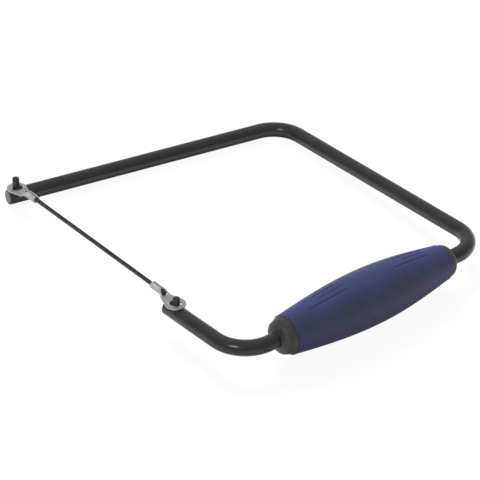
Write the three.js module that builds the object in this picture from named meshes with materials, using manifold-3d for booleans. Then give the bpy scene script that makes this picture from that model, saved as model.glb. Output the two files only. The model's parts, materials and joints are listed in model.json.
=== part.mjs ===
// Hand tile saw. One bent steel rod carries a moulded handle and two blade pins, and a grit-coated wire
// with a ring lug crimped on each end is stretched between the pins.
// Millimetres, +Z up. The saw lies at rest on its front arm and the belly of its grip.
import * as THREE from "three";
import { mergeVertices } from "three/addons/utils/BufferGeometryUtils.js";
import Module from "manifold-3d";

// Bent rod: lengths run along the centre line, between its corners and free ends.
const ROD_DIAMETER = 9;
const ROD_END_ROUNDING = 0.9;
const BEND_RADIUS = 19.5;
const FRONT_ARM_LENGTH = 183.4;
const FRONT_ARM_SPLAY_DEGREES = 10.8;
const SPINE_LENGTH = 172;
const REAR_ARM_LENGTH = 60.5;

// Blade pins, pressed into the rod near its two free ends.
const PIN_DIAMETER = 4.1;
const FRONT_PIN_HEIGHT = 7.2;
const REAR_PIN_HEIGHT = 5;
const PIN_SEAT_DEPTH = 6.5;
const PIN_TIP_CHAMFER = 0.5;
const FRONT_PIN_INSET = 5.5;
const REAR_PIN_INSET = 7.5;

// Blade wire and the sheet-metal lugs crimped on its ends.
const WIRE_DIAMETER = 2.3;
const WIRE_TAIL = 0.9;
const LUG_SHEET = 0.8;
const LUG_RING_DIAMETER = 11.6;
const LUG_HOLE_DIAMETER = 6.4;
const LUG_NECK_WIDTH = 6.2;
const LUG_NECK_REACH = 8.4;
const LUG_MOUTH_REACH = 20;
const LUG_BARREL_LENGTH = 9.5;
const LUG_WING_TAPER = 1.5;
const LUG_BARREL_DIAMETER = 4.4;
const LUG_SEAM_WIDTH = 0.5;

// Handle, and the bare rod that shows between its end caps and the bends.
const SPINE_REVEAL = 6.7;
const HEEL_REVEAL = 5.8;
const GRIP_LENGTH = 114.3;
const GRIP_UPPER_DIAMETER = 20.6;
const GRIP_BELLY_DIAMETER = 32.2;
const GRIP_LOWER_DIAMETER = 22.6;
const GRIP_BORE_DIAMETER = 17;
const UPPER_BAND_LENGTH = 1.5;
const LOWER_BAND_LENGTH = 3.4;
const BAND_STEP = 0.4;
const UPPER_BAND_TAPER = 0.2;
const LOWER_BAND_TAPER = 1.2;
const CAP_STEP = 0.2;
const UPPER_DOME_LENGTH = 5.6;
const LOWER_DOME_LENGTH = 3.2;
const CAP_LIP = 0.8;

// Moulded grooves in the grip: a middle one between two longer ones, in each group.
const GROOVE_TOOL_DIAMETER = 1.7;
const GROOVE_DEPTH = 0.55;
const GROOVE_SPREAD_DEGREES = 15;
const GROOVE_MIDDLE_LENGTH = 18;
const GROOVE_OUTER_LENGTH = 27;
const GROOVE_UPPER_MARGIN = 13.2;
const GROOVE_LOWER_MARGIN = 13.6;

// Clearances between neighbouring pieces.
const PIN_SEAT_CLEARANCE = 0.2;
const LUG_SEAT_CLEARANCE = 0.2;
const LUG_PIN_CLEARANCE = 0.25;
const HANDLE_CLEARANCE = 0.3;

// Facet counts, and how far a cutting tool reaches past the surface it cuts.
const ROD_SIDES = 24;
const BEND_STEPS = 12;
const ROUNDING_STEPS = 4;
const PIN_SIDES = 20;
const WIRE_SIDES = 12;
const LUG_CURVE_STEPS = 16;
const LUG_CURL_STEPS = 5;
const LUG_WING_STEPS = 3;
const LUG_HALF_FACETS = 9;
const LEAST_CURL = 0.001;
const HANDLE_SIDES = 40;
const GRIP_HALF_STEPS = 10;
const DOME_STEPS = 7;
const GROOVE_SIDES = 10;
const GROOVE_CAP_STEPS = 3;
const CUT_MARGIN = 1;

const UP = new THREE.Vector3(0, 0, 1);
const ALONG = new THREE.Vector3(0, 1, 0);
const rodRadius = ROD_DIAMETER / 2;
const pinRadius = PIN_DIAMETER / 2;
const barrelRadius = LUG_BARREL_DIAMETER / 2;

const wasm = await Module();
wasm.setup();

// Closed geometry as a solid that can be joined and cut.
function solidOf(geometry) {
  const bare = geometry.clone();
  bare.deleteAttribute("normal");
  bare.deleteAttribute("uv");
  const merged = mergeVertices(bare);
  const mesh = new wasm.Mesh({
    numProp: 3,
    vertProperties: merged.attributes.position.array,
    triVerts: new Uint32Array(merged.index.array),
  });
  return new wasm.Manifold(mesh);
}

// A solid back as geometry, with one normal for each facet.
function geometryOf(solid) {
  const mesh = solid.getMesh();
  const geometry = new THREE.BufferGeometry();
  geometry.setAttribute("position", new THREE.BufferAttribute(mesh.vertProperties, mesh.numProp));
  geometry.setIndex(new THREE.BufferAttribute(mesh.triVerts, 1));
  const faceted = geometry.toNonIndexed();
  faceted.computeVertexNormals();
  return faceted;
}

// A mesh with its own painted, bare or moulded finish.
function piece(name, geometry, color, roughness, metalness) {
  const material = new THREE.MeshStandardMaterial({ color, roughness, metalness });
  const mesh = new THREE.Mesh(geometry, material);
  mesh.name = name;
  return mesh;
}

// Rod centre line: straight runs between corners, each corner rounded to the bend radius.
class RodLine extends THREE.Curve {
  constructor(corners) {
    super();
    this.stations = [];
    corners.forEach((corner, i) => this.addCorner(corners[i - 1], corner, corners[i + 1]));
  }

  addCorner(before, corner, after) {
    const into = before && corner.clone().sub(before).normalize();
    const out = after && after.clone().sub(corner).normalize();
    if (!into || !out) {
      this.stations.push({ point: corner, direction: out || into });
      return;
    }
    const turn = into.angleTo(out);
    const turnAxis = into.clone().cross(out).normalize();
    const start = corner.clone().addScaledVector(into, -BEND_RADIUS * Math.tan(turn / 2));
    const arm = into.clone().cross(turnAxis).multiplyScalar(BEND_RADIUS);
    const centre = start.clone().sub(arm);
    for (let step = 0; step <= BEND_STEPS; step++) {
      const angle = (turn * step) / BEND_STEPS;
      const point = arm.clone().applyAxisAngle(turnAxis, angle).add(centre);
      const direction = into.clone().applyAxisAngle(turnAxis, angle);
      this.stations.push({ point, direction });
    }
  }

  blend(t, key, target) {
    const place = t * (this.stations.length - 1);
    const index = Math.min(Math.floor(place), this.stations.length - 2);
    const [here, next] = this.stations.slice(index, index + 2);
    return target.lerpVectors(here[key], next[key], place - index);
  }

  getPoint(t, target = new THREE.Vector3()) {
    return this.blend(t, "point", target);
  }

  getTangent(t, target = new THREE.Vector3()) {
    return this.blend(t, "direction", target).normalize();
  }

  // Steps of the sweep fall on the stations, so straight runs take one step each.
  getUtoTmapping(u) {
    return u;
  }
}

// Handle stations run along the handle arm from the corner that it shares with the spine.
// The arm is as long as the handle, the bare rod beside it and the two bends need.
const handleBore = rodRadius + HANDLE_CLEARANCE;
const upperBandRadius = GRIP_UPPER_DIAMETER / 2 - BAND_STEP;
const lowerBandRadius = GRIP_LOWER_DIAMETER / 2 - BAND_STEP;
const upperSetback = 2 * HANDLE_CLEARANCE + UPPER_BAND_LENGTH;
const lowerSetback = 2 * HANDLE_CLEARANCE + LOWER_BAND_LENGTH;
const upperDome = capDome(upperBandRadius - UPPER_BAND_TAPER, UPPER_DOME_LENGTH);
const lowerDome = capDome(lowerBandRadius - LOWER_BAND_TAPER, LOWER_DOME_LENGTH);
const gripStart = BEND_RADIUS + SPINE_REVEAL + upperDome.at(-1).y + upperSetback;
const gripEnd = gripStart + GRIP_LENGTH;
const handleArmLength = gripEnd + lowerSetback + lowerDome.at(-1).y + HEEL_REVEAL + BEND_RADIUS;

// Corners of the rod, drawn flat with the spine's lower corner at the origin.
const splay = THREE.MathUtils.degToRad(FRONT_ARM_SPLAY_DEGREES);
const frontDirection = new THREE.Vector3(-Math.cos(splay), Math.sin(splay), 0);
const spineTop = new THREE.Vector3(0, SPINE_LENGTH, 0);
const spineFoot = new THREE.Vector3(0, 0, 0);
const heel = new THREE.Vector3(-handleArmLength, 0, 0);
const frontEnd = spineTop.clone().addScaledVector(frontDirection, FRONT_ARM_LENGTH);
const rearEnd = heel.clone().addScaledVector(ALONG, REAR_ARM_LENGTH);
const frontPin = frontEnd.clone().addScaledVector(frontDirection, -FRONT_PIN_INSET);
const rearPin = rearEnd.clone().addScaledVector(ALONG, -REAR_PIN_INSET);

// Tool that rounds the rim of a rod end: all that lies outside a quarter circle.
function rimCutter(end, direction) {
  const rim = new THREE.Path();
  rim.moveTo(rodRadius - ROD_END_ROUNDING, CUT_MARGIN);
  rim.lineTo(rodRadius - ROD_END_ROUNDING, 0);
  rim.absarc(rodRadius - ROD_END_ROUNDING, -ROD_END_ROUNDING, ROD_END_ROUNDING, Math.PI / 2, 0, true);
  rim.lineTo(rodRadius + CUT_MARGIN, -ROD_END_ROUNDING);
  rim.lineTo(rodRadius + CUT_MARGIN, CUT_MARGIN);
  rim.closePath();
  const ring = new THREE.LatheGeometry(rim.getPoints(ROUNDING_STEPS), ROD_SIDES);
  ring.applyQuaternion(new THREE.Quaternion().setFromUnitVectors(ALONG, direction));
  ring.translate(end.x, end.y, end.z);
  return solidOf(ring);
}

// Blind hole that a pin is pressed into, from the top of the rod.
function pinSeat(place) {
  const seatRadius = pinRadius + PIN_SEAT_CLEARANCE;
  const depth = PIN_SEAT_DEPTH + PIN_SEAT_CLEARANCE;
  const hole = new THREE.CylinderGeometry(seatRadius, seatRadius, depth + CUT_MARGIN, PIN_SIDES);
  hole.rotateX(Math.PI / 2);
  hole.translate(place.x, place.y, rodRadius - (depth - CUT_MARGIN) / 2);
  return solidOf(hole);
}

function frameRod() {
  const line = new RodLine([frontEnd, spineTop, spineFoot, heel, rearEnd]);
  const section = new THREE.Shape().absarc(0, 0, rodRadius, 0, 2 * Math.PI);
  const swept = new THREE.ExtrudeGeometry(section, {
    steps: line.stations.length - 1,
    curveSegments: ROD_SIDES / 2,
    extrudePath: line,
  });
  const rod = solidOf(swept)
    .subtract(rimCutter(frontEnd, frontDirection))
    .subtract(rimCutter(rearEnd, ALONG))
    .subtract(pinSeat(frontPin))
    .subtract(pinSeat(rearPin));
  return piece("frame_rod", geometryOf(rod), "#2b2b2d", 0.45, 0);
}

// Straight pin with a chamfered tip, turned about its own axis. Its height is what stands above the rod.
function bladePin(name, place, height) {
  const profile = [
    new THREE.Vector2(0, -PIN_SEAT_DEPTH),
    new THREE.Vector2(pinRadius, -PIN_SEAT_DEPTH),
    new THREE.Vector2(pinRadius, height - PIN_TIP_CHAMFER),
    new THREE.Vector2(pinRadius - PIN_TIP_CHAMFER, height),
    new THREE.Vector2(0, height),
  ];
  const turned = new THREE.LatheGeometry(profile, PIN_SIDES);
  turned.rotateX(Math.PI / 2);
  const pin = piece(name, turned, "#2b2b2d", 0.45, 0);
  pin.position.set(place.x, place.y, rodRadius);
  return pin;
}

// One cross-section of rolled sheet: an arc of even thickness that lies on z = 0. Curl 1 rolls it to the
// barrel's radius. Corner points run along the underside and back along the top.
function sheetSection(x, curl, halfWidth) {
  const rollRadius = (barrelRadius - LUG_SHEET / 2) / curl;
  const under = [];
  const top = [];
  for (let facet = -LUG_HALF_FACETS; facet <= LUG_HALF_FACETS; facet++) {
    const angle = (halfWidth * facet) / LUG_HALF_FACETS / rollRadius;
    const radial = new THREE.Vector3(0, Math.sin(angle), -Math.cos(angle));
    const centre = new THREE.Vector3(x, 0, rollRadius + LUG_SHEET / 2);
    const middle = centre.addScaledVector(radial, rollRadius);
    under.push(middle.clone().addScaledVector(radial, LUG_SHEET / 2));
    top.unshift(middle.clone().addScaledVector(radial, -LUG_SHEET / 2));
  }
  return [...under, ...top];
}

// Loft through cross-sections of equal point counts, closed by a strip of quads at each end.
function loft(sections) {
  const count = sections[0].length;
  const index = [];
  const quad = (a, b, c, d) => index.push(a, b, c, a, c, d);
  for (let s = 0; s < sections.length - 1; s++) {
    for (let i = 0; i < count; i++) {
      const next = (i + 1) % count;
      quad(s * count + i, s * count + next, (s + 1) * count + next, (s + 1) * count + i);
    }
  }
  const last = (sections.length - 1) * count;
  for (let i = 0; i < count / 2 - 1; i++) {
    const opposite = count - 1 - i;
    quad(i, opposite, opposite - 1, i + 1);
    quad(last + i, last + i + 1, last + opposite - 1, last + opposite);
  }
  const geometry = new THREE.BufferGeometry().setFromPoints(sections.flat());
  geometry.setIndex(index);
  return geometry;
}

// Lug in its own frame: hole centre at the origin, underside on z = 0, wire leaving along +X.
function lugSolid() {
  const ringRadius = LUG_RING_DIAMETER / 2;
  const neckHalf = LUG_NECK_WIDTH / 2;
  const shoulder = Math.asin(neckHalf / ringRadius) * 2;
  const outline = new THREE.Shape();
  outline.absarc(0, 0, ringRadius, shoulder, 2 * Math.PI - shoulder);
  outline.lineTo(LUG_NECK_REACH, -neckHalf);
  outline.lineTo(LUG_NECK_REACH, neckHalf);
  outline.closePath();
  outline.holes.push(new THREE.Path().absarc(0, 0, LUG_HOLE_DIAMETER / 2, 0, 2 * Math.PI));
  const tongue = new THREE.ExtrudeGeometry(outline, {
    depth: LUG_SHEET,
    curveSegments: LUG_CURVE_STEPS,
    bevelEnabled: false,
  });

  // The strip beyond the tongue: it curls up into a trough under the end of the wire, and its edges then
  // widen into wings that are rolled right round the wire and meet in a seam on top.
  const barrelReach = LUG_MOUTH_REACH - LUG_BARREL_LENGTH;
  const barrelHalf = Math.PI * (barrelRadius - LUG_SHEET / 2) - LUG_SEAM_WIDTH / 2;
  const strip = [sheetSection(LUG_NECK_REACH - CUT_MARGIN, LEAST_CURL, neckHalf)];
  for (let step = 0; step <= LUG_CURL_STEPS; step++) {
    const progress = step / LUG_CURL_STEPS;
    const x = THREE.MathUtils.lerp(LUG_NECK_REACH, barrelReach, progress);
    const curl = Math.max(LEAST_CURL, THREE.MathUtils.smoothstep(progress, 0, 1));
    strip.push(sheetSection(x, curl, neckHalf));
  }
  for (let step = 1; step <= LUG_WING_STEPS; step++) {
    const progress = step / LUG_WING_STEPS;
    const halfWidth = THREE.MathUtils.lerp(neckHalf, barrelHalf, progress);
    strip.push(sheetSection(barrelReach + LUG_WING_TAPER * progress, 1, halfWidth));
  }
  strip.push(sheetSection(LUG_MOUTH_REACH, 1, barrelHalf));
  return solidOf(tongue).add(solidOf(loft(strip)));
}

// Blade: wire and lugs in one group that lifts off the pins. Its tension holds the ring of each lug
// against the outer side of its pin.
function bladeGroup() {
  const span = rearPin.clone().sub(frontPin);
  const slack = LUG_HOLE_DIAMETER / 2 - pinRadius - LUG_PIN_CLEARANCE;
  const halfReach = span.length() / 2 - slack;
  const blade = new THREE.Group();
  blade.position.addVectors(frontPin, rearPin).multiplyScalar(0.5);
  blade.position.z = rodRadius + LUG_SEAT_CLEARANCE;
  blade.rotation.z = Math.atan2(span.y, span.x);

  const lug = geometryOf(lugSolid());
  const frontLug = piece("front_lug", lug, "#b9b9b4", 0.35, 1);
  frontLug.position.x = -halfReach;
  const rearLug = piece("rear_lug", lug, "#b9b9b4", 0.35, 1);
  rearLug.position.x = halfReach;
  rearLug.rotation.z = Math.PI;

  const wireRadius = WIRE_DIAMETER / 2;
  const tailReach = LUG_MOUTH_REACH - LUG_BARREL_LENGTH - WIRE_TAIL;
  const wireLength = 2 * (halfReach - tailReach);
  const wire = new THREE.CylinderGeometry(wireRadius, wireRadius, wireLength, WIRE_SIDES);
  wire.rotateZ(Math.PI / 2);
  const bladeWire = piece("blade_wire", wire, "#4b4a4c", 0.8, 0.6);
  bladeWire.position.z = barrelRadius;
  blade.add(bladeWire, frontLug, rearLug);
  return blade;
}

// Radius of the grip at a station: it swells from each end to the belly at its middle.
function gripRadius(station) {
  const half = GRIP_LENGTH / 2;
  const fromBelly = station - gripStart - half;
  const endDiameter = fromBelly < 0 ? GRIP_UPPER_DIAMETER : GRIP_LOWER_DIAMETER;
  const swell = Math.cos((Math.PI / 2) * (fromBelly / half));
  return (endDiameter + (GRIP_BELLY_DIAMETER - endDiameter) * swell) / 2;
}

// Handle pieces are turned about the handle arm, with stations along their own +Y.
function turned(profile) {
  return new THREE.LatheGeometry([...profile, profile[0]], HANDLE_SIDES);
}

// Core tube on the rod, with a band at each end that the grip sits between. Each band narrows outwards.
function handleCore() {
  const tubeRadius = GRIP_BORE_DIAMETER / 2 - HANDLE_CLEARANCE;
  const upperShoulder = gripStart - HANDLE_CLEARANCE;
  const lowerShoulder = gripEnd + HANDLE_CLEARANCE;
  const profile = [
    new THREE.Vector2(handleBore, upperShoulder - UPPER_BAND_LENGTH),
    new THREE.Vector2(upperBandRadius - UPPER_BAND_TAPER, upperShoulder - UPPER_BAND_LENGTH),
    new THREE.Vector2(upperBandRadius, upperShoulder),
    new THREE.Vector2(tubeRadius, upperShoulder),
    new THREE.Vector2(tubeRadius, lowerShoulder),
    new THREE.Vector2(lowerBandRadius, lowerShoulder),
    new THREE.Vector2(lowerBandRadius - LOWER_BAND_TAPER, lowerShoulder + LOWER_BAND_LENGTH),
    new THREE.Vector2(handleBore, lowerShoulder + LOWER_BAND_LENGTH),
  ];
  return piece("handle_core", turned(profile), "#262626", 0.6, 0);
}

// Rounded tool lying along the grip, sunk to the groove depth at both ends of the groove.
function grooveTool(station, length, azimuth) {
  const toolRadius = GROOVE_TOOL_DIAMETER / 2;
  const rise = gripRadius(station + length) - gripRadius(station);
  const lie = new THREE.Vector3(0, length, rise);
  const straight = lie.length() - GROOVE_TOOL_DIAMETER;
  const tool = new THREE.CapsuleGeometry(toolRadius, straight, GROOVE_CAP_STEPS, GROOVE_SIDES);
  tool.applyQuaternion(new THREE.Quaternion().setFromUnitVectors(ALONG, lie.clone().normalize()));
  const height = gripRadius(station) + rise / 2 + toolRadius - GROOVE_DEPTH;
  tool.translate(0, station + length / 2, height);
  tool.rotateY(azimuth);
  return solidOf(tool);
}

// Soft grip over the core, with two groups of grooves on its upper side and the same two below.
function gripSleeve() {
  const profile = [new THREE.Vector2(GRIP_BORE_DIAMETER / 2, gripStart)];
  for (let step = 0; step <= 2 * GRIP_HALF_STEPS; step++) {
    const station = gripStart + (GRIP_LENGTH * step) / (2 * GRIP_HALF_STEPS);
    profile.push(new THREE.Vector2(gripRadius(station), station));
  }
  profile.push(new THREE.Vector2(GRIP_BORE_DIAMETER / 2, gripEnd));
  let sleeve = solidOf(turned(profile));
  const upperGroup = gripStart + GROOVE_UPPER_MARGIN;
  const lowerGroup = gripEnd - GROOVE_LOWER_MARGIN - GROOVE_OUTER_LENGTH;
  for (const station of [upperGroup, lowerGroup]) {
    for (const side of [0, Math.PI]) {
      for (const offset of [-1, 0, 1]) {
        const length = offset === 0 ? GROOVE_MIDDLE_LENGTH : GROOVE_OUTER_LENGTH;
        const azimuth = side + offset * THREE.MathUtils.degToRad(GROOVE_SPREAD_DEGREES);
        sleeve = sleeve.subtract(grooveTool(station, length, azimuth));
      }
    }
  }
  return piece("grip_sleeve", geometryOf(sleeve), "#454c8c", 0.75, 0);
}

// Outline of a domed end cap, from the rim of its flat base on y = 0 up to the lip round the rod.
function capDome(bandEndRadius, domeLength) {
  const baseRadius = bandEndRadius - CAP_STEP;
  const lipAngle = Math.acos((handleBore + CAP_LIP) / baseRadius);
  return new THREE.EllipseCurve(0, 0, baseRadius, domeLength, 0, lipAngle).getPoints(DOME_STEPS);
}

// Cap that closes the end of the core round the rod.
function endCap(name, dome, station, flip) {
  const foot = new THREE.Vector2(handleBore, 0);
  const lip = new THREE.Vector2(handleBore, dome.at(-1).y);
  const cap = piece(name, turned([foot, ...dome, lip]), "#262626", 0.6, 0);
  cap.position.y = station;
  cap.rotation.x = flip;
  return cap;
}

function handleGroup() {
  const handle = new THREE.Group();
  handle.position.copy(spineFoot);
  handle.rotation.z = Math.PI / 2;
  handle.add(
    handleCore(),
    gripSleeve(),
    endCap("upper_end_cap", upperDome, gripStart - upperSetback, Math.PI),
    endCap("lower_end_cap", lowerDome, gripEnd + lowerSetback, 0),
  );
  return handle;
}

// Tilt about the front arm that brings the grip's belly down to the bench that the arm lies on.
function restTilt() {
  const belly = new THREE.Vector3(-gripStart - GRIP_LENGTH / 2, 0, 0);
  const reach = frontDirection.clone().cross(belly.sub(spineTop)).dot(UP);
  return Math.asin((GRIP_BELLY_DIAMETER / 2 - rodRadius) / reach);
}

const saw = new THREE.Group();
saw.add(frameRod(), handleGroup(), bladeGroup());
saw.add(bladePin("front_pin", frontPin, FRONT_PIN_HEIGHT), bladePin("rear_pin", rearPin, REAR_PIN_HEIGHT));
saw.quaternion.setFromAxisAngle(frontDirection, restTilt());

// Origin under the middle of the saw, on the bench.
const tileSaw = new THREE.Group();
tileSaw.add(saw);
const box = new THREE.Box3().setFromObject(tileSaw, true);
const middle = box.getCenter(new THREE.Vector3());
saw.position.set(-middle.x, -middle.y, -box.min.z);

export default tileSaw;
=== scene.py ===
import json
import math
import bmesh
import bpy
from mathutils import Matrix, Vector


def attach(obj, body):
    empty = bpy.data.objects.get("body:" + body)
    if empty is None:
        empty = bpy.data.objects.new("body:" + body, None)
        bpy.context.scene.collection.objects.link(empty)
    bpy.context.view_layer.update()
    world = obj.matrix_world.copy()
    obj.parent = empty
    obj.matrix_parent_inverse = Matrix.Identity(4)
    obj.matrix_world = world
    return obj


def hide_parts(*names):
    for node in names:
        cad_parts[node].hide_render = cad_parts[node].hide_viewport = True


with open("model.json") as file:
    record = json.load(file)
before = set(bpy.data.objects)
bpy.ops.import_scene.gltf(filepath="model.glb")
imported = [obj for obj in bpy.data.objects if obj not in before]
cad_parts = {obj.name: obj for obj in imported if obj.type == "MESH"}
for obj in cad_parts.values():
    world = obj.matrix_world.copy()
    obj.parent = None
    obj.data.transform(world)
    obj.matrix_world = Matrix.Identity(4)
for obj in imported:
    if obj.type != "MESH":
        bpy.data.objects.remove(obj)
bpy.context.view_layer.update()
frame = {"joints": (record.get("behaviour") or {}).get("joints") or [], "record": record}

mergeReach = 0.002  # mm, points nearer than this become one
sameReach = 0.01  # mm, near enough to count as the same height or length


# sizes below are in millimetres, Blender works in metres
def mm(size):
    return size * 0.001


# pattern scale for a feature of this many millimetres
def perMm(size):
    return 1000 / size


# sRGB hex to the linear colour that the shaders take
def linear(hexCode):
    parts = [int(hexCode[i:i + 2], 16) / 255 for i in (1, 3, 5)]
    return [p / 12.92 if p <= 0.04045 else ((p + 0.055) / 1.055) ** 2.4 for p in parts] + [1.0]


# leaves edit mode and lets go of everything
def clearPick():
    if bpy.context.mode != "OBJECT":
        bpy.ops.object.mode_set(mode="OBJECT")
    bpy.ops.object.select_all(action="DESELECT")


# lets go of everything and takes hold of one object
def hold(obj):
    clearPick()
    obj.select_set(True)
    bpy.context.view_layer.objects.active = obj


# selects the edges or faces of the mesh in edit mode that pass the test
def pick(kind, test):
    bpy.ops.mesh.select_mode(type={"edges": "EDGE", "faces": "FACE"}[kind])
    bpy.ops.mesh.select_all(action="DESELECT")
    mesh = bmesh.from_edit_mesh(bpy.context.object.data)
    for item in getattr(mesh, kind):
        if test(item):
            item.select_set(True)
    mesh.select_flush_mode()
    bmesh.update_edit_mesh(bpy.context.object.data)


# names the primitive just added, puts its place into its mesh and opens it for editing
def openPiece(name):
    obj = bpy.context.object
    obj.name = name
    bpy.ops.object.transform_apply(location=True, rotation=True, scale=True)
    bpy.ops.object.mode_set(mode="EDIT")
    return obj


def mergeDoubles():
    bpy.ops.mesh.select_all(action="SELECT")
    bpy.ops.mesh.remove_doubles(threshold=mm(mergeReach))


# merges doubles, turns every face outwards and leaves edit mode
def closePiece():
    mergeDoubles()
    bpy.ops.mesh.normals_make_consistent(inside=False)
    bpy.ops.object.mode_set(mode="OBJECT")


def useModifier(obj, kind, **settings):
    modifier = obj.modifiers.new(kind.title(), kind)
    for name, setting in settings.items():
        setattr(modifier, name, setting)
    bpy.context.view_layer.objects.active = obj
    bpy.ops.object.modifier_apply(modifier=modifier.name)


# one vertex pushed along a profile of (station, radius) points, then spun round the X axis
def spinProfile(name, profile, steps):
    clearPick()
    station, radius = profile[0]
    bpy.ops.mesh.primitive_plane_add(size=mm(1), location=(mm(station), 0, mm(radius)))
    obj = openPiece(name)
    bpy.ops.mesh.select_mode(type="VERT")
    bpy.ops.mesh.select_all(action="SELECT")
    bpy.ops.mesh.merge(type="CENTER")  # the plane gives the first vertex
    for here, there in zip(profile, profile[1:]):
        push = (mm(there[0] - here[0]), 0, mm(there[1] - here[1]))
        bpy.ops.mesh.extrude_vertices_move(TRANSFORM_OT_translate={"value": push})
    bpy.ops.mesh.select_all(action="SELECT")
    bpy.ops.mesh.spin(steps=steps, angle=2 * math.pi, center=(0, 0, 0), axis=(1, 0, 0))
    closePiece()
    return obj


# points of an arc about a centre, from one direction to another
def arcPoints(centre, radius, startDegrees, endDegrees, steps):
    sweep = endDegrees - startDegrees
    turns = [math.radians(startDegrees + sweep * i / steps) for i in range(steps + 1)]
    return [(centre[0] + radius * math.cos(t), centre[1] + radius * math.sin(t)) for t in turns]


# gives a finished piece its place, look and body
def finishPiece(obj, place, material, body, node, sharpDegrees):
    hold(obj)
    obj.matrix_world = place
    bpy.ops.object.transform_apply(location=True, rotation=True, scale=True)
    bpy.ops.object.shade_smooth_by_angle(angle=math.radians(sharpDegrees))
    obj.data.materials.append(material)
    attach(obj, body)
    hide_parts(node)
    print(node, "done,", sum(len(p.vertices) - 2 for p in obj.data.polygons), "triangles")


# adds a node with its settings, socket values, links and the stops of its ramp
def addNode(material, kind, values=None, links=None, stops=(), **settings):
    node = material.node_tree.nodes.new("ShaderNode" + kind)
    for name, setting in settings.items():
        setattr(node, name, setting)
    for name, value in (values or {}).items():
        node.inputs[name].default_value = value
    for name, source in (links or {}).items():
        material.node_tree.links.new(source, node.inputs[name])
    for i, (position, hexCode) in enumerate(stops):
        node.color_ramp.elements[i].position = position
        node.color_ramp.elements[i].color = linear(hexCode)
    return node


# starts a material with what is even all over it, and gives the coordinates for its patterns
def startMaterial(name, evenValues):
    material = bpy.data.materials.new(name)
    material.use_nodes = True
    shader = material.node_tree.nodes["Principled BSDF"]
    for socket, value in evenValues.items():
        shader.inputs[socket].default_value = value
    return material, addNode(material, "TexCoord").outputs["Object"]


# links what changes over the surface to the shader
def endMaterial(material, colour, roughness, normal):
    shader = material.node_tree.nodes["Principled BSDF"]
    links = material.node_tree.links
    links.new(colour, shader.inputs["Base Color"])
    links.new(roughness, shader.inputs["Roughness"])
    links.new(normal, shader.inputs["Normal"])
    return material


# the finishes: sizes, heights and depths of their patterns are in millimetres too

# Alkyd enamel sprayed on steel: satin black, faint orange peel,
# and a gloss that wanders a little along the rod
rodEnamel = {
    "dark": "#1f1f1f",
    "light": "#262626",
    "roughness": (0.5, 0.6),
    "dustRoughness": 0.12,
    "drift": 22,  # slow change of tone and gloss
    "peel": 1.8,
    "peelHeight": 0.12,
    "dust": 1.3,  # the specks are about 0.3 mm, drawn coarser so that they show
}


def makeRodPaint():
    material, where = startMaterial("satin black sprayed enamel", {
        "IOR": 1.5,
        "Specular IOR Level": 0.16,
        "Coat Weight": 0.55,  # skin of the enamel, it gives the sharp sparks on the bends
        "Coat Roughness": 0.24,
    })
    drift = addNode(material, "TexNoise", {"Scale": perMm(rodEnamel["drift"]), "Detail": 3},
                    {"Vector": where})
    peel = addNode(material, "TexNoise", {"Scale": perMm(rodEnamel["peel"]), "Detail": 2},
                   {"Vector": where})
    dust = addNode(material, "TexNoise", {"Scale": perMm(rodEnamel["dust"]), "Detail": 4},
                   {"Vector": where})
    tone = addNode(material, "ValToRGB", links={"Fac": drift.outputs["Fac"]},
                   stops=[(0.35, rodEnamel["dark"]), (0.7, rodEnamel["light"])])
    low, high = rodEnamel["roughness"]
    gloss = addNode(material, "MapRange",
                    {"From Min": 0.3, "From Max": 0.7, "To Min": low, "To Max": high},
                    {"Value": drift.outputs["Fac"]})
    speck = addNode(material, "MapRange",
                    {"From Min": 0.6, "From Max": 0.8, "To Max": rodEnamel["dustRoughness"]},
                    {"Value": dust.outputs["Fac"]})
    rough = addNode(material, "Math", operation="ADD",
                    links={0: gloss.outputs["Result"], 1: speck.outputs["Result"]})
    bump = addNode(material, "Bump", {"Strength": 0.6, "Distance": mm(rodEnamel["peelHeight"])},
                   {"Height": peel.outputs["Fac"]})
    return endMaterial(material, tone.outputs["Color"], rough.outputs["Value"], bump.outputs["Normal"])


# The same enamel on a pin: the ring of the lug has rubbed it,
# so it is a little greyer and duller in streaks
pinEnamel = {
    "dark": "#171717",
    "light": "#2a2a2a",
    "roughness": (0.3, 0.5),
    "rub": 1.0,  # the streaks are about 0.3 mm wide, drawn coarser so that they show
    "rubDepth": 0.02,
}


def makePinPaint():
    material, where = startMaterial("rubbed black enamel", {"IOR": 1.5, "Specular IOR Level": 0.45})
    # drawn out up the pin
    along = addNode(material, "Mapping", {"Scale": (1, 1, 0.25)}, {"Vector": where})
    rub = addNode(material, "TexNoise", {"Scale": perMm(pinEnamel["rub"]), "Detail": 4},
                  {"Vector": along.outputs["Vector"]})
    tone = addNode(material, "ValToRGB", links={"Fac": rub.outputs["Fac"]},
                   stops=[(0.45, pinEnamel["dark"]), (0.75, pinEnamel["light"])])
    low, high = pinEnamel["roughness"]
    gloss = addNode(material, "MapRange", {"To Min": low, "To Max": high}, {"Value": rub.outputs["Fac"]})
    bump = addNode(material, "Bump", {"Strength": 0.3, "Distance": mm(pinEnamel["rubDepth"])},
                   {"Height": rub.outputs["Fac"]})
    return endMaterial(material, tone.outputs["Color"], gloss.outputs["Result"], bump.outputs["Normal"])


# Tin-plated steel sheet, stamped and rolled: pale grey with a soft shine, cloudy, scratched along the
# blade, and painted shade making it greyer on all sideways faces, flanks and cut edges, to damp the small
# lamp's glints there
lugPlate = {
    "dark": "#bcbebe",
    "light": "#e2e3e2",
    "steel": "#a5a5a3",  # painted shade on flanks and cut edges; on the cut edges it also stands for bare steel
    "roughness": (0.54, 0.7),
    "scratch": 0.6,  # the scratches are under 0.1 mm wide, drawn coarser so that they show
    "scratchDepth": 0.06,
    "cloud": 3.5,
}


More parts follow.
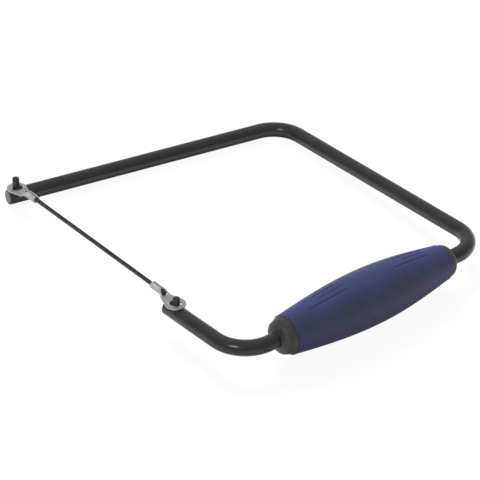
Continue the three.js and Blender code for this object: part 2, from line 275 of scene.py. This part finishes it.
def makeLugTin():
    material, where = startMaterial("tin plated rolled sheet", {"Metallic": 1.0})
    # drawn out along the blade
    along = addNode(material, "Mapping", {"Scale": (1, 0.12, 1)}, {"Vector": where})
    scratch = addNode(material, "TexNoise", {"Scale": perMm(lugPlate["scratch"]), "Detail": 5},
                      {"Vector": along.outputs["Vector"]})
    cloud = addNode(material, "TexNoise", {"Scale": perMm(lugPlate["cloud"]), "Detail": 3},
                    {"Vector": where})
    haze = addNode(material, "Math", operation="MULTIPLY",
                   links={0: cloud.outputs["Fac"], 1: scratch.outputs["Fac"]})
    tone = addNode(material, "ValToRGB", links={"Fac": haze.outputs["Value"]},
                   stops=[(0.15, lugPlate["dark"]), (0.35, lugPlate["light"])])
    facing = addNode(material, "SeparateXYZ",
                     links={"Vector": addNode(material, "TexCoord").outputs["Normal"]})
    upright = addNode(material, "Math", links={0: facing.outputs["Z"]}, operation="ABSOLUTE")
    # painted shade: faces whose normal lies far from upright take the darker flank colour
    flankShadeMask = addNode(material, "MapRange", {"From Min": 0.75, "From Max": 0.15},
                    {"Value": upright.outputs["Value"]})
    # sockets 0, 6, 7 and output 2 are the factor, both colours and the mixed colour
    toneAndFlankShade = addNode(material, "Mix", {7: linear(lugPlate["steel"])},
                   {0: flankShadeMask.outputs["Result"], 6: tone.outputs["Color"]}, data_type="RGBA")
    low, high = lugPlate["roughness"]
    gloss = addNode(material, "MapRange", {"To Min": low, "To Max": high},
                    {"Value": scratch.outputs["Fac"]})
    bump = addNode(material, "Bump", {"Strength": 0.5, "Distance": mm(lugPlate["scratchDepth"])},
                   {"Height": scratch.outputs["Fac"]})
    return endMaterial(material, toneAndFlankShade.outputs[2], gloss.outputs["Result"], bump.outputs["Normal"])


# Tungsten carbide grit brazed on a steel wire: dark and dull, with single grains that catch the light
gritCoat = {
    "dark": "#3a393a",
    "light": "#646261",
    "roughness": (0.45, 0.8),
    "grain": 0.8,  # the grains are about 0.4 mm, their tones drawn coarser so that single ones show
    "grainHeight": 0.12,
    "braze": 1.6,
}


def makeBladeGrit():
    material, where = startMaterial("brazed carbide grit", {"Metallic": 1.0})
    grain = addNode(material, "TexVoronoi", {"Scale": perMm(gritCoat["grain"])}, {"Vector": where})
    braze = addNode(material, "TexNoise", {"Scale": perMm(gritCoat["braze"]), "Detail": 3},
                    {"Vector": where})
    tone = addNode(material, "ValToRGB", links={"Fac": grain.outputs["Color"]},
                   stops=[(0.2, gritCoat["dark"]), (0.9, gritCoat["light"])])
    low, high = gritCoat["roughness"]
    gloss = addNode(material, "MapRange", {"To Min": low, "To Max": high}, {"Value": braze.outputs["Fac"]})
    bump = addNode(material, "Bump", {"Strength": 0.6, "Distance": mm(gritCoat["grainHeight"])},
                   {"Height": grain.outputs["Distance"]})
    return endMaterial(material, tone.outputs["Color"], gloss.outputs["Result"], bump.outputs["Normal"])


# Thermoplastic rubber moulded in a spark-eroded tool: matt blue, fine leathery grain, a touch of bloom
gripSkin = {
    "dark": "#222950",
    "light": "#272e59",
    "roughness": (0.56, 0.7),
    "bloom": 16,
    "grain": 1.2,  # the tool's grain is about 0.4 mm, drawn coarser so that it shows
    "grainDepth": 0.25,
}


def makeGripRubber():
    material, where = startMaterial("moulded blue soft rubber", {"IOR": 1.5, "Specular IOR Level": 0.7})
    bloom = addNode(material, "TexNoise", {"Scale": perMm(gripSkin["bloom"]), "Detail": 4},
                    {"Vector": where})
    grain = addNode(material, "TexNoise", {"Scale": perMm(gripSkin["grain"]), "Detail": 4},
                    {"Vector": where})
    tone = addNode(material, "ValToRGB", links={"Fac": bloom.outputs["Fac"]},
                   stops=[(0.3, gripSkin["dark"]), (0.7, gripSkin["light"])])
    low, high = gripSkin["roughness"]
    gloss = addNode(material, "MapRange", {"To Min": low, "To Max": high}, {"Value": grain.outputs["Fac"]})
    bump = addNode(material, "Bump", {"Strength": 0.8, "Distance": mm(gripSkin["grainDepth"])},
                   {"Height": grain.outputs["Fac"]})
    return endMaterial(material, tone.outputs["Color"], gloss.outputs["Result"], bump.outputs["Normal"])


# Polypropylene, injection moulded: soft black with a low even sheen and faint flow marks
handleShell = {
    "dark": "#262626",
    "light": "#2d2d2d",
    "roughness": (0.5, 0.6),
    "flow": 6,
    "grain": 1.2,  # the mould's texture is about 0.3 mm, drawn coarser so that it shows
    "grainDepth": 0.2,
}


def makeHandlePlastic():
    material, where = startMaterial("moulded black polypropylene",
                                    {"IOR": 1.49, "Specular IOR Level": 0.7})
    flow = addNode(material, "TexNoise",
                   {"Scale": perMm(handleShell["flow"]), "Detail": 3, "Distortion": 0.6},
                   {"Vector": where})
    grain = addNode(material, "TexNoise", {"Scale": perMm(handleShell["grain"]), "Detail": 3},
                    {"Vector": where})
    tone = addNode(material, "ValToRGB", links={"Fac": flow.outputs["Fac"]},
                   stops=[(0.3, handleShell["dark"]), (0.7, handleShell["light"])])
    low, high = handleShell["roughness"]
    gloss = addNode(material, "MapRange", {"To Min": low, "To Max": high}, {"Value": flow.outputs["Fac"]})
    bump = addNode(material, "Bump", {"Strength": 0.7, "Distance": mm(handleShell["grainDepth"])},
                   {"Height": grain.outputs["Fac"]})
    return endMaterial(material, tone.outputs["Color"], gloss.outputs["Result"], bump.outputs["Normal"])


rodPaint = makeRodPaint()
pinPaint = makePinPaint()
lugTin = makeLugTin()
bladeGrit = makeBladeGrit()
gripRubber = makeGripRubber()
handlePlastic = makeHandlePlastic()
print("materials done")


# the saw is drawn flat, spine corner at the origin, and then laid on the bench
rod = {
    "radius": 4.5,
    "bendRadius": 19.5,
    "splayDegrees": 10.8,  # front arm leans away from the handle
    "frontArm": 183.4,
    "spine": 172.0,
    "handleArm": 179.0085,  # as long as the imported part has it
    "rearArm": 60.5,
    "endRounding": 0.9,
    "endInset": 0.25,
    "sides": 64,
    "bendSteps": 40,
    "roundingSteps": 8,
    "sharpDegrees": 35,
}
pin = {
    "radius": 2.05,
    "frontHeight": 7.2,  # over the top of the rod
    "rearHeight": 5.0,
    "below": 6.5,
    "tipRounding": 0.75,
    "tipInset": 0.2,
    "frontInset": 5.5,  # from the end of the arm
    "rearInset": 7.5,
    "sides": 48,
    "roundingSteps": 8,
    "sharpDegrees": 35,
}
splay = math.radians(rod["splayDegrees"])
frontDirection = Vector((-math.cos(splay), math.sin(splay), 0))
frontEnd = Vector((0, rod["spine"], 0)) + frontDirection * rod["frontArm"]
frontPin = frontEnd - frontDirection * pin["frontInset"]
rearPin = Vector((-rod["handleArm"], rod["rearArm"] - pin["rearInset"], 0))

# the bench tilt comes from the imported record:
# the pins point along the lift, the front arm along its end face
mounts = {mount["name"]: mount for mount in frame["record"]["mounts"]}
liftAxis = Vector(frame["joints"][0]["axis"]).normalized()
armAxis = Vector(mounts["front_arm_end"]["axis"]).normalized()
sideAxis = liftAxis.cross(armAxis)
flatX = armAxis * -math.cos(splay) - sideAxis * math.sin(splay)
flatY = armAxis * math.sin(splay) - sideAxis * math.cos(splay)
bench = Matrix((flatX, flatY, liftAxis)).transposed().to_4x4()
pinTip = Vector((mm(frontPin.x), mm(frontPin.y), mm(rod["radius"] + pin["frontHeight"])))
bench.translation = Vector(mounts["front_pin_tip"]["pos_m"]) - bench.to_3x3() @ pinTip
print("bench tilt", [round(c, 4) for c in bench.translation])


# bent rod: a ring pushed along each arm and spun round each bend
def makeRod():
    clearPick()
    heading = -frontDirection
    turned = heading.to_track_quat("Z", "Y").to_euler()
    bpy.ops.mesh.primitive_circle_add(vertices=rod["sides"], radius=mm(rod["radius"]),
                                      location=mm(frontEnd), rotation=turned)
    obj = openPiece("bentRod")
    bpy.ops.mesh.select_mode(type="EDGE")
    bpy.ops.mesh.select_all(action="SELECT")
    at = frontEnd.copy()
    bend = rod["bendRadius"]
    topTurn = math.pi / 2 - splay
    topTangent = bend * math.tan(topTurn / 2)
    runs = [  # straight length, then the turn at its end
        (rod["frontArm"] - topTangent, topTurn),
        (rod["spine"] - topTangent - bend, math.pi / 2),
        (rod["handleArm"] - 2 * bend, math.pi / 2),
        (rod["rearArm"] - bend, 0),
    ]
    for length, turn in runs:
        step = heading * length
        bpy.ops.mesh.extrude_edges_move(TRANSFORM_OT_translate={"value": mm(step)})
        at += step
        if turn:
            inner = Vector((heading.y, -heading.x, 0))  # every bend goes to the right
            centre = at + inner * bend
            bpy.ops.mesh.spin(steps=rod["bendSteps"], angle=turn, center=mm(centre), axis=(0, 0, 1))
            swing = Matrix.Rotation(-turn, 3, "Z")
            at = centre + swing @ (at - centre)
            heading = swing @ heading
    mergeDoubles()
    bpy.ops.mesh.fill_holes(sides=0)
    pick("edges", lambda edge: any(len(face.verts) > 4 for face in edge.link_faces))
    bpy.ops.mesh.bevel(offset=mm(rod["endRounding"]), segments=rod["roundingSteps"], profile=0.5,
                       affect="EDGES")
    pick("faces", lambda face: len(face.verts) > 4)
    bpy.ops.mesh.inset(thickness=mm(rod["endInset"]))
    closePiece()
    print("rod ends at", [round(c, 2) for c in at])
    return obj


finishPiece(makeRod(), bench, rodPaint, "saw_frame", "frame_rod", rod["sharpDegrees"])


# blade pin: a turned stud with a rounded tip
def makePin(name, place, height):
    clearPick()
    length = height + pin["below"]
    middle = rod["radius"] + (height - pin["below"]) / 2
    bpy.ops.mesh.primitive_cylinder_add(vertices=pin["sides"], radius=mm(pin["radius"]), depth=mm(length),
                                        location=(mm(place.x), mm(place.y), mm(middle)))
    obj = openPiece(name)
    tip = mm(rod["radius"] + height)
    pick("edges", lambda edge: all(abs(vert.co.z - tip) < mm(sameReach) for vert in edge.verts))
    bpy.ops.mesh.bevel(offset=mm(pin["tipRounding"]), segments=pin["roundingSteps"], profile=0.5,
                       affect="EDGES")
    pick("faces", lambda face: len(face.verts) > 4 and face.normal.z > 0.9)  # the tip's flat
    bpy.ops.mesh.inset(thickness=mm(pin["tipInset"]))
    closePiece()
    return obj


frontStud = makePin("frontBladePin", frontPin, pin["frontHeight"])
finishPiece(frontStud, bench, pinPaint, "saw_frame", "front_pin", pin["sharpDegrees"])
rearStud = makePin("rearBladePin", rearPin, pin["rearHeight"])
finishPiece(rearStud, bench, pinPaint, "saw_frame", "rear_pin", pin["sharpDegrees"])


# handle: everything is spun round the handle arm, stations run from the spine corner
handle = {
    "gripStart": 32.8236,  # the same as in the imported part
    "gripLength": 114.3,
    "upperDiameter": 20.6,
    "bellyDiameter": 32.2,
    "lowerDiameter": 22.6,
    "boreDiameter": 17.0,
    "gripEndRounding": 0.7,
    "gripEndLift": 0.2,  # raises the rounding to meet the swelling side
    "gripEndReach": 1.4,  # roundings from the end to where the side takes over
    "gripEndFlat": 0.5,
    "upperSetback": 2.1,  # from the grip's end to the foot of the cap
    "lowerSetback": 4.0,
    "bandStep": 0.4,
    "upperTaper": 0.2,
    "lowerTaper": 1.2,
    "capStep": 0.2,
    "upperDome": 5.6,
    "lowerDome": 3.2,
    "capLip": 0.8,
    "lipSlope": (0.25, 0.5),  # along and down from the dome's end
    "lipFoot": 0.45,  # where the slope meets the rod
    "gap": 0.3,
    "seam": 0.03,  # parting lines between the mouldings, closed up to a hairline
    "rodGap": 0.04,
    "shoulder": 0.6,  # soft outer edge of a band
    "edgeRounding": 0.2,
    "edgeFlat": 0.3,
    "alongSteps": 200,
    "aroundSteps": 400,  # round the grip, fine enough for its grooves
    "spinSteps": 160,
    "domeSteps": 40,
    "softSteps": 6,
    "edgeSteps": 4,
    "sharpDegrees": 50,
}
grooves = {
    "spreadDegrees": 15,
    "width": 1.5,
    "depth": 0.45,
    "softness": 1.3,  # the flanks run out past the width
    "middleLength": 18.0,
    "outerLength": 27.0,
    "upperMargin": 13.2,  # from the grip's end at the spine
    "lowerMargin": 13.6,  # from its other end
}
gateMark = {  # little dimple that the moulding gate leaves
    "station": 47.4,
    "degrees": 50,  # down the near side of the grip
    "radius": 1.0,
    "depth": 0.3,
}
gripEnd = handle["gripStart"] + handle["gripLength"]
rodHole = rod["radius"] + handle["rodGap"]


# the grip swells from each end to its belly
def gripRadius(station):
    half = handle["gripLength"] / 2
    fromBelly = station - handle["gripStart"] - half
    end = handle["upperDiameter"] if fromBelly < 0 else handle["lowerDiameter"]
    return (end + (handle["bellyDiameter"] - end) * math.cos(math.pi / 2 * fromBelly / half)) / 2


# depth of a soft hollow: all of it in the middle, none from 1 outwards
def hollow(depth, away):
    return depth * (0.5 + 0.5 * math.cos(math.pi * min(away, 1)))


# how deep the surface sinks at a station and at an angle from the top of the grip
def sinkDepth(station, angle):
    radius = gripRadius(station)
    across = (angle - math.radians(gateMark["degrees"])) * radius
    away = math.hypot(across, station - gateMark["station"]) / gateMark["radius"]
    deepest = hollow(gateMark["depth"], away)
    half = grooves["width"] / 2
    upperStart = handle["gripStart"] + grooves["upperMargin"]
    lowerStart = gripEnd - grooves["lowerMargin"] - grooves["outerLength"]
    for start in (upperStart, lowerStart):
        for offset in (-1, 0, 1):
            length = grooves["outerLength"] if offset else grooves["middleLength"]
            # the remainder by half a turn puts the same grooves underneath
            turn = math.remainder(angle - offset * math.radians(grooves["spreadDegrees"]), math.pi)
            past = max(start + half - station, station - start - length + half, 0)  # round ends
            away = math.hypot(abs(turn) * radius, past) / half
            deepest = max(deepest, hollow(grooves["depth"], away / grooves["softness"]))
    return deepest


def makeGrip():
    rounding, lift = handle["gripEndRounding"], handle["gripEndLift"]
    flat, steps = handle["gripEndFlat"], handle["softSteps"]
    first, last = handle["gripStart"], gripEnd
    bore = handle["boreDiameter"] / 2
    upper, lower = handle["upperDiameter"] / 2, handle["lowerDiameter"] / 2
    reach = rounding * handle["gripEndReach"]
    profile = [(first, bore), (first, upper - rounding - flat)]
    profile += arcPoints((first + rounding, upper - rounding + lift), rounding, 180, 100, steps)
    for i in range(handle["alongSteps"] + 1):
        station = first + reach + (handle["gripLength"] - 2 * reach) * i / handle["alongSteps"]
        profile.append((station, gripRadius(station)))
    profile += arcPoints((last - rounding, lower - rounding + lift), rounding, 80, 0, steps)
    profile += [(last, lower - rounding - flat), (last, bore), (first, bore)]
    obj = spinProfile("blueGrip", profile, handle["aroundSteps"])
    # press the grooves in from outside, the bore stays as it is
    for vert in obj.data.vertices:
        radius = math.hypot(vert.co.y, vert.co.z)
        if radius > mm(bore + flat):
            sink = mm(sinkDepth(vert.co.x * 1000, math.atan2(vert.co.y, vert.co.z)))
            vert.co.y *= 1 - sink / radius
            vert.co.z *= 1 - sink / radius
    return obj


# tube with a tapering band at each end, the bands go on past the ends of the grip
def makeCore():
    tube = handle["boreDiameter"] / 2 - handle["gap"]
    soft, softSteps = handle["shoulder"], handle["softSteps"]
    edge, edgeSteps = handle["edgeRounding"], handle["edgeSteps"]
    upper = handle["upperDiameter"] / 2 - handle["bandStep"]
    lower = handle["lowerDiameter"] / 2 - handle["bandStep"]
    first, last = handle["gripStart"] - handle["seam"], gripEnd + handle["seam"]
    top = handle["gripStart"] - handle["upperSetback"] + handle["seam"]
    foot = gripEnd + handle["lowerSetback"] - handle["seam"]
    topRadius, footRadius = upper - handle["upperTaper"], lower - handle["lowerTaper"]
    profile = [(top, rodHole), (top, topRadius - soft - handle["edgeFlat"])]
    profile += arcPoints((top + soft, topRadius - soft), soft, 180, 100, softSteps)
    profile += arcPoints((first - edge, upper - edge), edge, 95, 0, edgeSteps)
    profile += [(first, tube), (last, tube)]
    profile += arcPoints((last + edge, lower - edge), edge, 180, 80, edgeSteps)
    profile += arcPoints((foot - soft, footRadius - soft), soft, 70, 0, softSteps)
    profile += [(foot, footRadius - soft - handle["edgeFlat"]), (foot, rodHole), (top, rodHole)]
    return spinProfile("handleCore", profile, handle["spinSteps"])


# domed cap on the upper or lower end: side is 1 at the heel and -1 at the spine
def makeCap(name, end, base, side):
    edge, edgeSteps = handle["edgeRounding"], handle["edgeSteps"]
    rim = handle[end + "Diameter"] / 2 - handle["bandStep"] - handle[end + "Taper"] - handle["capStep"]
    lipTurn = math.acos((rod["radius"] + handle["gap"] + handle["capLip"]) / rim)
    profile = [(0, rodHole), (0, rim - edge - handle["edgeFlat"])]
    profile += arcPoints((edge, rim - edge), edge, 180, 100, edgeSteps)
    for i in range(edgeSteps, handle["domeSteps"] + 1):  # the first steps are the rounding's
        turn = lipTurn * i / handle["domeSteps"]
        profile.append((handle[end + "Dome"] * math.sin(turn), rim * math.cos(turn)))
    lipStation, lipRadius = profile[-1]
    slopeAlong, slopeDown = handle["lipSlope"]  # the lip slopes in to the rod
    profile.append((lipStation + slopeAlong, lipRadius - slopeDown))
    profile += [(lipStation + handle["lipFoot"], rodHole), (0, rodHole)]
    placed = [(base + side * station, radius) for station, radius in profile]
    return spinProfile(name, placed, handle["spinSteps"])


alongHandle = bench @ Matrix.Rotation(math.pi, 4, "Z")  # stations run towards -X of the flat drawing
upperBase = handle["gripStart"] - handle["upperSetback"]
lowerBase = gripEnd + handle["lowerSetback"]
handlePieces = [
    (makeGrip(), gripRubber, "grip_sleeve", "grip_rubber"),
    (makeCore(), handlePlastic, "handle_core", "handle_plastic"),
    (makeCap("spineCap", "upper", upperBase, -1), handlePlastic, "upper_end_cap", "handle_plastic"),
    (makeCap("heelCap", "lower", lowerBase, 1), handlePlastic, "lower_end_cap", "handle_plastic"),
]
for piece, look, node, slotName in handlePieces:
    finishPiece(piece, alongHandle, look, "saw_frame", node, handle["sharpDegrees"])
print("handle done")


# blade: a strip of sheet is shaped, rolled round the wire and punched
lug = {
    "sheet": 0.8,
    "ringRadius": 5.8,
    "holeRadius": 3.2,
    "neckHalf": 3.1,
    "neckReach": 8.4,  # reaches run from the hole's centre
    "mouthReach": 20.0,
    "barrelLength": 9.5,
    "wingTaper": 1.5,
    "barrelRadius": 2.2,
    "seamWidth": 0.5,
    "seatGap": 0.2,
    "pinGap": 0.25,
    "leastCurl": 0.001,  # a flat strip is a very slack roll
    "alongSteps": 120,
    "acrossSteps": 32,
    "punchSides": 96,
    "punchDepth": 6,
    "edgeRounding": 0.14,
    "edgeSteps": 3,
    "edgeDegrees": 50,
    "sharpDegrees": 40,
}
wire = {
    "radius": 1.15,
    "tail": 0.9,  # past the lug's wings
    "grain": 0.4,
    "grainHeight": 0.16,
    "grainContrast": 1.2,
    "endInset": 0.35,
    "sides": 28,
    "rings": 600,
    "stretches": 30,  # first cut, each is then cut into rings
    "sharpDegrees": 60,
}
span = rearPin - frontPin
slack = lug["holeRadius"] - pin["radius"] - lug["pinGap"]
halfReach = span.length / 2 - slack
bladeMiddle = (frontPin + rearPin) / 2
bladeMiddle.z = rod["radius"] + lug["seatGap"]
bladeTurn = Matrix.Rotation(math.atan2(span.y, span.x), 4, "Z")
alongBlade = bench @ Matrix.Translation(mm(bladeMiddle)) @ bladeTurn
barrelStart = lug["mouthReach"] - lug["barrelLength"]
rollRadius = lug["barrelRadius"] - lug["sheet"] / 2  # to the middle of the sheet


# half width of the flat blank at a distance from the hole's centre
def blankHalf(x):
    shoulder = 2 * math.asin(lug["neckHalf"] / lug["ringRadius"])
    leave = lug["ringRadius"] * math.cos(shoulder)
    if x < leave:
        return math.sqrt(max(lug["ringRadius"] ** 2 - x * x, 0))
    if x < lug["neckReach"]:
        top = lug["ringRadius"] * math.sin(shoulder)
        return top + (lug["neckHalf"] - top) * (x - leave) / (lug["neckReach"] - leave)
    if x < barrelStart:
        return lug["neckHalf"]
    barrelHalf = math.pi * rollRadius - lug["seamWidth"] / 2
    rise = min((x - barrelStart) / lug["wingTaper"], 1)
    return lug["neckHalf"] + (barrelHalf - lug["neckHalf"]) * rise


# how far the blank is rolled up: 0 flat, 1 round the wire
def blankCurl(x):
    t = min(max((x - lug["neckReach"]) / (barrelStart - lug["neckReach"]), 0), 1)
    return t * t * (3 - 2 * t)


def makeLug(name):
    clearPick()
    length = lug["mouthReach"] + lug["ringRadius"]
    bpy.ops.mesh.primitive_grid_add(x_subdivisions=lug["alongSteps"], y_subdivisions=lug["acrossSteps"],
                                    size=2)
    obj = bpy.context.object
    for vert in obj.data.vertices:
        u, v = (vert.co.x + 1) / 2, vert.co.y  # 0 to 1 along the strip, -1 to 1 across it
        x = -lug["ringRadius"] + length * (1 - math.cos(math.pi / 2 * u))  # rows crowd at the round end
        bent = rollRadius / max(blankCurl(x), lug["leastCurl"])
        turn = blankHalf(x) * v / bent
        height = lug["sheet"] / 2 + bent * (1 - math.cos(turn))
        vert.co = (mm(x), mm(bent * math.sin(turn)), mm(height))
    openPiece(name)
    closePiece()
    useModifier(obj, "SOLIDIFY", thickness=mm(lug["sheet"]), offset=0, use_even_offset=True)
    clearPick()
    bpy.ops.mesh.primitive_cylinder_add(vertices=lug["punchSides"], radius=mm(lug["holeRadius"]),
                                        depth=mm(lug["punchDepth"]))
    punch = bpy.context.object
    useModifier(obj, "BOOLEAN", operation="DIFFERENCE", object=punch, solver="EXACT")
    bpy.data.objects.remove(punch)
    useModifier(obj, "BEVEL", width=mm(lug["edgeRounding"]), segments=lug["edgeSteps"],
                limit_method="ANGLE", angle_limit=math.radians(lug["edgeDegrees"]))
    return obj


# both lugs are alike, the rear one is a turned copy
frontLug = makeLug("frontRingLug")
hold(frontLug)
bpy.ops.object.duplicate()
rearLug = bpy.context.object
rearLug.name = "rearRingLug"
atFront = alongBlade @ Matrix.Translation((mm(-halfReach), 0, 0))
atRear = alongBlade @ Matrix.Translation((mm(halfReach), 0, 0)) @ Matrix.Rotation(math.pi, 4, "Z")
finishPiece(frontLug, atFront, lugTin, "blade", "front_lug", lug["sharpDegrees"])
finishPiece(rearLug, atRear, lugTin, "blade", "rear_lug", lug["sharpDegrees"])


# the wire is cut into fine rings and roughened by its grit
def makeWire():
    clearPick()
    length = 2 * (halfReach - (barrelStart - wire["tail"]))
    bpy.ops.mesh.primitive_cylinder_add(vertices=wire["sides"], radius=mm(wire["radius"]),
                                        depth=mm(length), location=(0, 0, mm(lug["barrelRadius"])),
                                        rotation=(0, math.pi / 2, 0))
    obj = openPiece("gritWire")
    for cuts in (wire["stretches"], wire["rings"] // wire["stretches"]):
        pick("edges", lambda edge: abs(edge.verts[0].co.x - edge.verts[1].co.x) > mm(sameReach))
        bpy.ops.mesh.subdivide(number_cuts=cuts - 1)
    pick("faces", lambda face: len(face.verts) > 4)
    bpy.ops.mesh.inset(thickness=mm(wire["endInset"]))
    bpy.ops.mesh.inset(thickness=mm(wire["endInset"]))
    closePiece()
    grit = bpy.data.textures.new("grit", "VORONOI")
    grit.noise_scale = mm(wire["grain"])
    grit.noise_intensity = wire["grainContrast"]
    useModifier(obj, "DISPLACE", texture=grit, texture_coords="LOCAL", strength=mm(wire["grainHeight"]),
                mid_level=0.5)
    return obj


finishPiece(makeWire(), alongBlade, bladeGrit, "blade", "blade_wire", wire["sharpDegrees"])
print("blade done")


# white paper floor in a plain pale room, one big soft lamp behind and above the saw,
# and a small one at the left for the sparks of light on the bends, all in metres and watts
stage = {
    "floorSize": 6.0,
    "floorDrop": 0.0005,  # clear of the saw's underside
    "catch": "#f4f4f4",  # paper that takes the shadow
    "bounce": "#303030",  # how little of it the saw gets back from below
    "glow": 0.94,  # share of the paper that shows plain white, the rest takes the shadow
    "mirrorGlow": 0.2,  # the same for the paper as the paint mirrors it, shadow and all
    "fill": 0.55,
    "lampPlace": (0.35, 0.85, 1.05),
    "lampSize": 0.7,
    "lampPower": 36.0,
    "sparkPlace": (-0.8, -0.33, 0.72),
    "sparkSize": 0.2,
    "sparkPower": 3.8,
}

clearPick()
bpy.ops.mesh.primitive_plane_add(size=stage["floorSize"], location=(0, 0, -stage["floorDrop"]))
floor = bpy.context.object
floor.name = "paperFloor"
bpy.ops.object.transform_apply(location=True, rotation=True, scale=True)
paper = bpy.data.materials.new("white paper floor")
paper.use_nodes = True
paper.node_tree.nodes.clear()
path = addNode(paper, "LightPath")
seen = addNode(paper, "Math", operation="MAXIMUM",
               links={0: path.outputs["Is Camera Ray"], 1: path.outputs["Is Glossy Ray"]})
seenAny = addNode(paper, "Math", operation="MAXIMUM",
                  links={0: seen.outputs["Value"], 1: path.outputs["Is Transmission Ray"]})
glow = addNode(paper, "Emission", {"Color": (1, 1, 1, 1), "Strength": 1.0})
catcher = addNode(paper, "BsdfDiffuse", {"Color": linear(stage["catch"])})
bounce = addNode(paper, "BsdfDiffuse", {"Color": linear(stage["bounce"])})
share = addNode(paper, "MapRange", {"To Min": stage["glow"], "To Max": stage["mirrorGlow"]},
                {"Value": path.outputs["Is Glossy Ray"]})
shown = addNode(paper, "MixShader", links={
    0: share.outputs["Result"], 1: catcher.outputs["BSDF"], 2: glow.outputs["Emission"]})
final = addNode(paper, "MixShader", links={
    0: seenAny.outputs["Value"], 1: bounce.outputs["BSDF"], 2: shown.outputs["Shader"]})
addNode(paper, "OutputMaterial", links={"Surface": final.outputs["Shader"]})
paper.cycles.emission_sampling = "NONE"  # the paper is only looked at, it lights nothing by itself
floor.data.materials.append(paper)

world = bpy.data.worlds.new("pale room")
bpy.context.scene.world = world
world.use_nodes = True
world.node_tree.nodes.clear()
room = addNode(world, "Background", {"Color": (1, 1, 1, 1), "Strength": stage["fill"]})
addNode(world, "OutputWorld", links={"Surface": room.outputs["Background"]})


# round lamp that looks at the middle of the saw
def makeLamp(name, place, size, power):
    clearPick()
    bpy.ops.object.light_add(type="AREA", location=place)
    lamp = bpy.context.object
    lamp.name = name
    lamp.data.shape = "DISK"
    lamp.data.size = size
    lamp.data.energy = power
    lamp.rotation_euler = (-lamp.location).to_track_quat("-Z", "Y").to_euler()
    return lamp


softLamp = makeLamp("softLamp", stage["lampPlace"], stage["lampSize"], stage["lampPower"])
softLamp.visible_glossy = False  # the paint mirrors the room and the paper, not this lamp
smallLamp = makeLamp("smallLamp", stage["sparkPlace"], stage["sparkSize"], stage["sparkPower"])
smallLamp.visible_diffuse = False  # it only shines back, it throws no light or shadow of its own

# camera, fitted to the picture: a long lens from the front left
view = {
    "place": (-0.765551, -0.837497, 0.799856),
    "degrees": (54.7262, -2.8962, -40.1587),
    "lens": 182.08,
    "sensor": 36.0,
    "near": 0.05,
    "far": 50,
}
clearPick()
bpy.ops.object.camera_add(location=view["place"], rotation=[math.radians(a) for a in view["degrees"]])
camera = bpy.context.object
camera.data.lens = view["lens"]
camera.data.sensor_width = view["sensor"]
camera.data.clip_start, camera.data.clip_end = view["near"], view["far"]
bpy.context.scene.camera = camera
bpy.context.scene.view_settings.view_transform = "Standard"
print("stage done")
